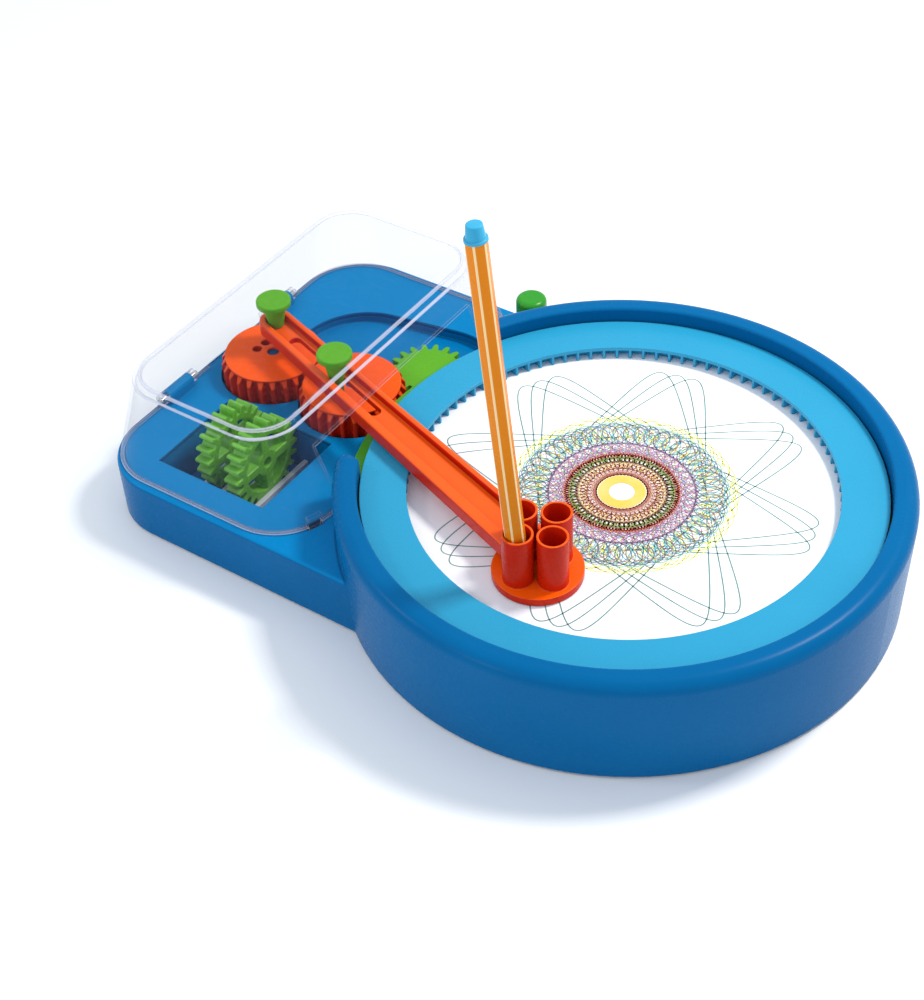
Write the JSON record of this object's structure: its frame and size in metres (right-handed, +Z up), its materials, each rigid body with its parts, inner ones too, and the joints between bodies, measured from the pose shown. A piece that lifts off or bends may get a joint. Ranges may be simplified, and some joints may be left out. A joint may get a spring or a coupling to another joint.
{
  "type": "spiral drawing machine",
  "caption": "Battery driven spiral drawing machine: a round case turns a paper disc while two cranked gears under a clear hinged cover swing an arm that holds a pen.",
  "frame": {"origin": "on the table under the middle of the outline", "axes": "+X from the gear box towards the drum, +Y towards the side with the power button, +Z up"},
  "size_m": [0.2914, 0.208, 0.1807],
  "materials": {
    "housing_blue": "smooth glossy moulding",
    "tray_blue": "smooth glossy moulding",
    "base_blue": "matt moulding",
    "screw_steel": "plain bright steel",
    "foot_rubber": "matt rubber",
    "cell_wrap": "smooth glossy moulding",
    "contact_metal": "plain bright steel",
    "motor_steel": "plain bright steel",
    "clip_steel": "plain bright steel",
    "inner_gear": "matt moulding",
    "shaft_steel": "plain bright steel",
    "bush_brass": "plain turned brass",
    "green_plastic": "smooth glossy moulding",
    "paper_white": "matt moulding",
    "ring_cyan": "smooth glossy moulding",
    "orange_plastic": "smooth glossy moulding",
    "divider_grey": "matt moulding",
    "pen_orange": "smooth glossy moulding",
    "nib_black": "matt moulding",
    "ink_core": "matt moulding",
    "plug_blue": "smooth glossy moulding",
    "clear_cover": "clear polished styrene",
    "switch_black": "matt moulding",
    "wire_red": "matt moulding"
  },
  "bodies": {
    "base": {"main_housing": "housing_blue", "gear_tray": "tray_blue", "bottom_cover": "base_blue", "housing_screws": "screw_steel", "battery_door": "base_blue", "battery_door_screw": "screw_steel", "rubber_feet": "foot_rubber", "batteries": "cell_wrap", "battery_contacts": "contact_metal", "motor": "motor_steel", "motor_clip": "clip_steel", "drive_gear_posts": "shaft_steel", "turntable_spindle": "shaft_steel", "support_pads": "inner_gear", "gear_posts": "tray_blue", "spare_gear_small": "green_plastic", "spare_gear_large": "green_plastic", "pit_dividers": "divider_grey", "hinge_pins": "shaft_steel", "power_switch": "switch_black", "button_spring": "clip_steel", "wires": "wire_red"},
    "turntable": {"turntable": "green_plastic", "turntable_bush": "bush_brass", "paper_disc": "paper_white", "clamp_ring": "ring_cyan"},
    "change_gear": {"change_gear": "green_plastic"},
    "crank_gear_1": {"crank_gear_1": "orange_plastic"},
    "crank_gear_2": {"crank_gear_2": "orange_plastic"},
    "drive_gear_1": {"drive_gear_1": "inner_gear"},
    "drive_gear_2": {"drive_gear_2": "inner_gear"},
    "motor_rotor": {"motor_pinion": "inner_gear", "motor_shaft": "shaft_steel"},
    "crank_pin": {"crank_pin": "green_plastic"},
    "arm": {"arm": "orange_plastic", "pen_holder": "orange_plastic", "guide_pin": "green_plastic"},
    "pen": {"pen_barrel": "pen_orange", "pen_nib": "nib_black", "pen_ink_core": "ink_core", "pen_plug": "plug_blue"},
    "clear_cover": {"clear_cover": "clear_cover"},
    "power_button": {"power_button": "green_plastic", "button_clip": "clip_steel"}
  },
  "joints": [
    {"name": "turntable_spin", "type": "hinge", "parent": "base", "child": "turntable", "pos_m": [0.0417, 0, 0], "axis": [0, 0, 1], "continuous": true},
    {"name": "change_gear_spin", "type": "hinge", "parent": "base", "child": "change_gear", "pos_m": [-0.06582, 0.03083, 0], "axis": [0, 0, 1], "continuous": true},
    {"name": "crank_gear_1_spin", "type": "hinge", "parent": "base", "child": "crank_gear_1", "pos_m": [-0.11889, 0, 0], "axis": [0, 0, 1], "continuous": true},
    {"name": "crank_gear_2_spin", "type": "hinge", "parent": "base", "child": "crank_gear_2", "pos_m": [-0.07979, 0, 0], "axis": [0, 0, 1], "continuous": true},
    {"name": "drive_gear_1_spin", "type": "hinge", "parent": "base", "child": "drive_gear_1", "pos_m": [0.00125, 0.07006, 0], "axis": [0, 0, 1], "continuous": true},
    {"name": "drive_gear_2_spin", "type": "hinge", "parent": "base", "child": "drive_gear_2", "pos_m": [0.0105, 0.05404, 0], "axis": [0, 0, 1], "continuous": true},
    {"name": "motor_spin", "type": "hinge", "parent": "base", "child": "motor_rotor", "pos_m": [0.01955, 0.03837, 0], "axis": [0, 0, 1], "continuous": true},
    {"name": "crank_pin_turn", "type": "hinge", "parent": "crank_gear_1", "child": "crank_pin", "pos_m": [-0.11976, 0.00492, 0], "axis": [0, 0, 1], "continuous": true},
    {"name": "arm_swing", "type": "hinge", "parent": "crank_pin", "child": "arm", "pos_m": [-0.11976, 0.00492, 0.041], "axis": [0, 0, 1], "range_deg": [0, 37]},
    {"name": "pen_lift", "type": "slide", "parent": "arm", "child": "pen", "axis": [-0.0737, -0.0268, 0.9969], "range_m": [0, 0.03]},
    {"name": "cover_hinge", "type": "hinge", "parent": "base", "child": "clear_cover", "pos_m": [-0.14253, 0, 0.0276], "axis": [0, -1, 0], "range_deg": [0, 100]},
    {"name": "button_press", "type": "slide", "parent": "base", "child": "power_button", "axis": [0, 0, -1], "range_m": [0, 0.002], "stiffness_N_per_m": 400, "springref_m": -0.001}
  ],
  "couplings": [
    {"joint": "change_gear_spin", "follows": "turntable_spin", "ratio": -6.8421},
    {"joint": "crank_gear_2_spin", "follows": "turntable_spin", "ratio": 5},
    {"joint": "crank_gear_1_spin", "follows": "turntable_spin", "ratio": -5},
    {"joint": "crank_pin_turn", "follows": "turntable_spin", "ratio": 5},
    {"joint": "drive_gear_1_spin", "follows": "turntable_spin", "ratio": 10},
    {"joint": "drive_gear_2_spin", "follows": "turntable_spin", "ratio": -36},
    {"joint": "motor_spin", "follows": "turntable_spin", "ratio": 180}
  ]
}
